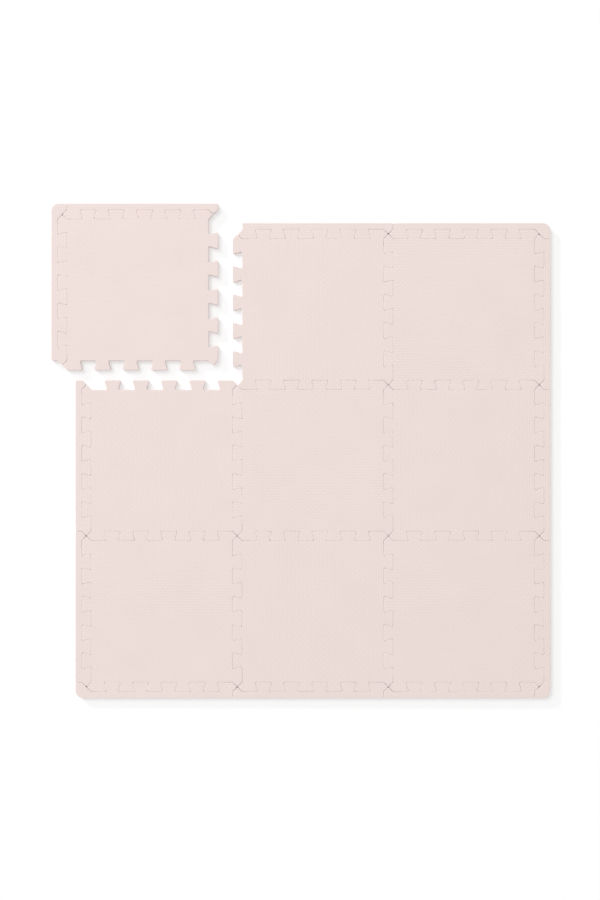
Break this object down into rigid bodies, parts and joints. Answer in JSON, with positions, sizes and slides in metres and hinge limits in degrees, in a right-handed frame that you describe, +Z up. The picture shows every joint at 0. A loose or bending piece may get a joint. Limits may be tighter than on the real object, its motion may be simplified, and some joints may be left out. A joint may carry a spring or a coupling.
{
  "type": "blocking mats",
  "caption": "Square foam mat of interlocking dovetail-toothed tiles with push-on straight edge strips; one corner tile is lifted out and lies beside the set.",
  "frame": {"origin": "middle of the underside of the middle tile, on the floor", "axes": "+X to the right and +Y to the back as seen from above, with the loose tile at the back left; +Z up"},
  "size_m": [0.9916, 0.9826, 0.012],
  "materials": {
    "blush_foam": "matt closed-cell EVA foam, pale blush, finely embossed skin, die-cut sides"
  },
  "bodies": {
    "tile_back_left": {"tile_back_left": "blush_foam"},
    "tile_back_centre": {"tile_back_centre": "blush_foam"},
    "tile_back_right": {"tile_back_right": "blush_foam"},
    "tile_middle_left": {"tile_middle_left": "blush_foam"},
    "tile_middle_centre": {"tile_middle_centre": "blush_foam"},
    "tile_middle_right": {"tile_middle_right": "blush_foam"},
    "tile_front_left": {"tile_front_left": "blush_foam"},
    "tile_front_centre": {"tile_front_centre": "blush_foam"},
    "tile_front_right": {"tile_front_right": "blush_foam"},
    "edge_back_left": {"edge_back_left": "blush_foam"},
    "edge_back_centre": {"edge_back_centre": "blush_foam"},
    "edge_back_right_corner": {"edge_back_right_corner": "blush_foam"},
    "edge_right_back": {"edge_right_back": "blush_foam"},
    "edge_right_middle": {"edge_right_middle": "blush_foam"},
    "edge_right_front_corner": {"edge_right_front_corner": "blush_foam"},
    "edge_front_right": {"edge_front_right": "blush_foam"},
    "edge_front_centre": {"edge_front_centre": "blush_foam"},
    "edge_front_left_corner": {"edge_front_left_corner": "blush_foam"},
    "edge_left_front": {"edge_left_front": "blush_foam"},
    "edge_left_middle": {"edge_left_middle": "blush_foam"},
    "edge_left_back_corner": {"edge_left_back_corner": "blush_foam"}
  },
  "joints": [
    {"name": "lift_tile_back_left", "type": "slide", "parent": "tile_middle_centre", "child": "tile_back_left", "axis": [0, 0, 1], "range_m": [0, 0.04]},
    {"name": "lift_tile_back_centre", "type": "slide", "parent": "tile_middle_centre", "child": "tile_back_centre", "axis": [0, 0, 1], "range_m": [0, 0.04]},
    {"name": "lift_tile_back_right", "type": "slide", "parent": "tile_middle_centre", "child": "tile_back_right", "axis": [0, 0, 1], "range_m": [0, 0.04]},
    {"name": "lift_tile_middle_left", "type": "slide", "parent": "tile_middle_centre", "child": "tile_middle_left", "axis": [0, 0, 1], "range_m": [0, 0.04]},
    {"name": "lift_tile_middle_right", "type": "slide", "parent": "tile_middle_centre", "child": "tile_middle_right", "axis": [0, 0, 1], "range_m": [0, 0.04]},
    {"name": "lift_tile_front_left", "type": "slide", "parent": "tile_middle_centre", "child": "tile_front_left", "axis": [0, 0, 1], "range_m": [0, 0.04]},
    {"name": "lift_tile_front_centre", "type": "slide", "parent": "tile_middle_centre", "child": "tile_front_centre", "axis": [0, 0, 1], "range_m": [0, 0.04]},
    {"name": "lift_tile_front_right", "type": "slide", "parent": "tile_middle_centre", "child": "tile_front_right", "axis": [0, 0, 1], "range_m": [0, 0.04]},
    {"name": "lift_edge_back_left", "type": "slide", "parent": "tile_back_left", "child": "edge_back_left", "axis": [0, 0, 1], "range_m": [0, 0.04]},
    {"name": "lift_edge_back_centre", "type": "slide", "parent": "tile_back_centre", "child": "edge_back_centre", "axis": [0, 0, 1], "range_m": [0, 0.04]},
    {"name": "lift_edge_back_right_corner", "type": "slide", "parent": "tile_back_right", "child": "edge_back_right_corner", "axis": [0, 0, 1], "range_m": [0, 0.04]},
    {"name": "lift_edge_right_back", "type": "slide", "parent": "tile_back_right", "child": "edge_right_back", "axis": [0, 0, 1], "range_m": [0, 0.04]},
    {"name": "lift_edge_right_middle", "type": "slide", "parent": "tile_middle_right", "child": "edge_right_middle", "axis": [0, 0, 1], "range_m": [0, 0.04]},
    {"name": "lift_edge_right_front_corner", "type": "slide", "parent": "tile_front_right", "child": "edge_right_front_corner", "axis": [0, 0, 1], "range_m": [0, 0.04]},
    {"name": "lift_edge_front_right", "type": "slide", "parent": "tile_front_right", "child": "edge_front_right", "axis": [0, 0, 1], "range_m": [0, 0.04]},
    {"name": "lift_edge_front_centre", "type": "slide", "parent": "tile_front_centre", "child": "edge_front_centre", "axis": [0, 0, 1], "range_m": [0, 0.04]},
    {"name": "lift_edge_front_left_corner", "type": "slide", "parent": "tile_front_left", "child": "edge_front_left_corner", "axis": [0, 0, 1], "range_m": [0, 0.04]},
    {"name": "lift_edge_left_front", "type": "slide", "parent": "tile_front_left", "child": "edge_left_front", "axis": [0, 0, 1], "range_m": [0, 0.04]},
    {"name": "lift_edge_left_middle", "type": "slide", "parent": "tile_middle_left", "child": "edge_left_middle", "axis": [0, 0, 1], "range_m": [0, 0.04]},
    {"name": "lift_edge_left_back_corner", "type": "slide", "parent": "tile_back_left", "child": "edge_left_back_corner", "axis": [0, 0, 1], "range_m": [0, 0.04]}
  ]
}
